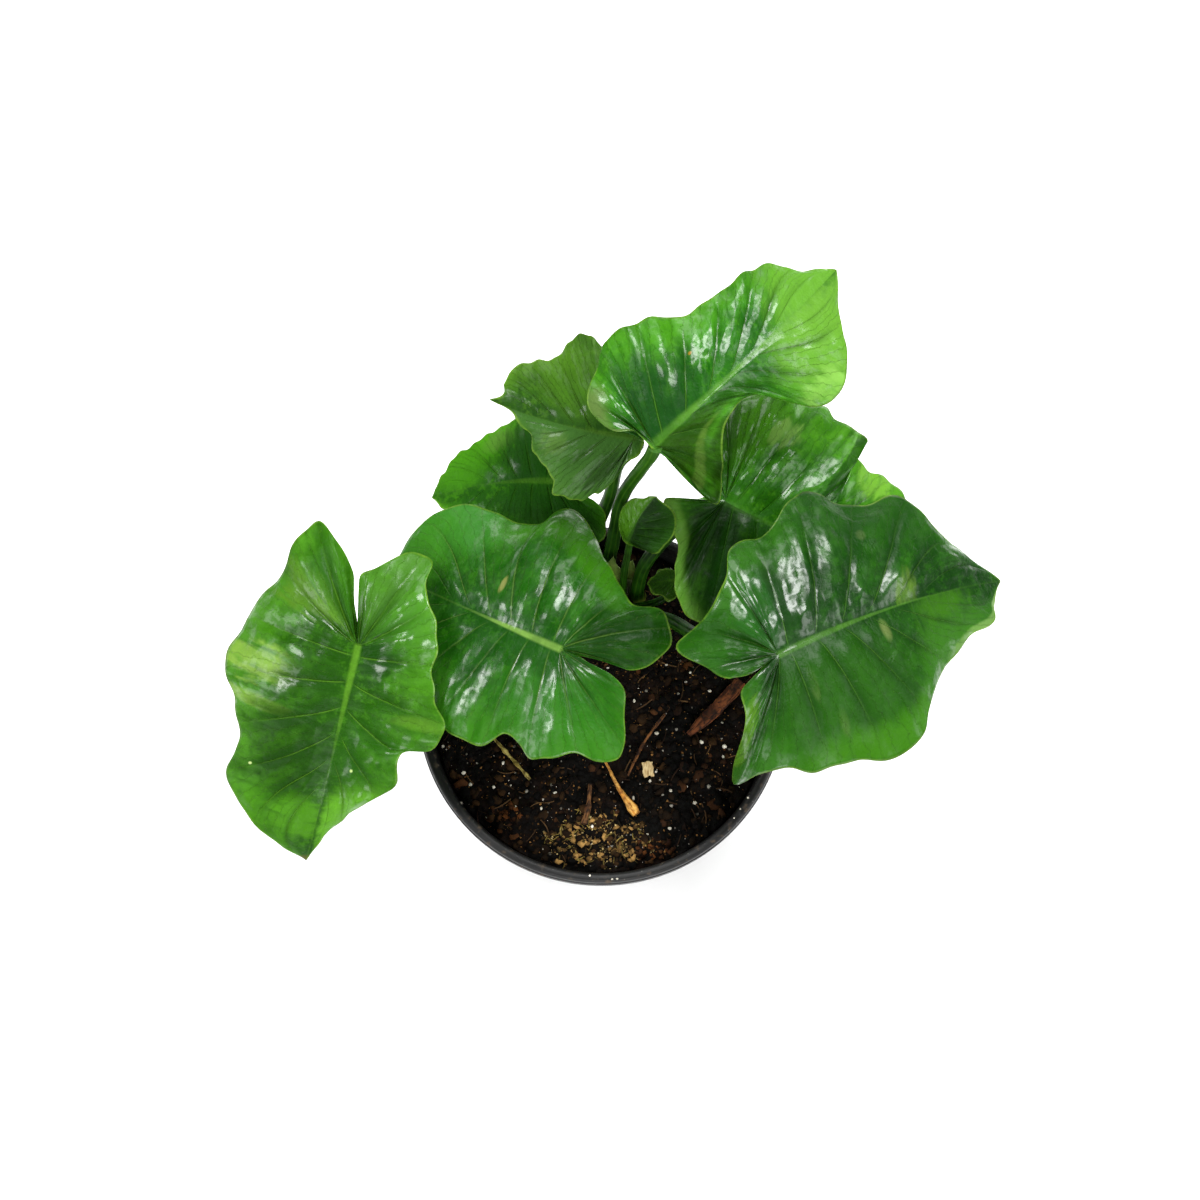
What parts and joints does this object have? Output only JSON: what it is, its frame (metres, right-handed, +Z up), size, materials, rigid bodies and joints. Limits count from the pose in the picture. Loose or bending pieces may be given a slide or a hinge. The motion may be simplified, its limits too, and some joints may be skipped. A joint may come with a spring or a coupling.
{
  "type": "potted philodendron",
  "caption": "Small potted philodendron: glossy wavy heart-shaped leaves on arching stalks, rooted in dark soil in a round charcoal nursery pot.",
  "frame": {"origin": "centre of the pot's flat underside, where the pot rests", "axes": "+Z up along the pot's axis; -Y faces the viewer of the picture; +X to the viewer's right"},
  "size_m": [0.2123, 0.1539, 0.1733],
  "materials": {
    "leaf_deep": "glossy wet-looking green, sunken veins, lighter midrib",
    "leaf_bright": "glossy yellow-green, sunken veins, lighter midrib",
    "leaf_olive": "satin olive green with a pale margin",
    "young_leaf": "soft light green with a pale band",
    "stalk": "satin light green",
    "crown": "rough olive and brown stem",
    "sheath": "dry pale green",
    "pot_plastic": "satin charcoal",
    "soil": "crumbly dark peat with white grains",
    "tan_root": "dry tan",
    "pale_root": "dry yellowish",
    "brown_wood": "dry brown",
    "bark": "rough red-brown",
    "pale_wood": "raw pale wood"
  },
  "bodies": {
    "root": {"blade_far_left": "leaf_bright", "stalk_far_left": "stalk", "blade_front_left": "leaf_deep", "stalk_front_left": "stalk", "blade_front_right": "leaf_deep", "stalk_front_right": "stalk", "blade_top_right": "leaf_bright", "stalk_top_right": "stalk", "blade_mid_right": "leaf_deep", "stalk_mid_right": "stalk", "blade_top_left": "leaf_olive", "stalk_top_left": "stalk", "blade_mid_left": "leaf_bright", "stalk_mid_left": "stalk", "blade_young": "young_leaf", "stalk_young": "stalk", "blade_lower": "leaf_olive", "stalk_lower": "stalk", "pot": "pot_plastic", "soil": "soil", "crown": "crown", "sheath_tall": "sheath", "sheath_short": "sheath", "dry_root": "tan_root", "brown_twig": "brown_wood", "bark_strip": "bark", "pale_root": "pale_root", "short_twig": "brown_wood", "wood_chip": "pale_wood"}
  },
  "joints": []
}
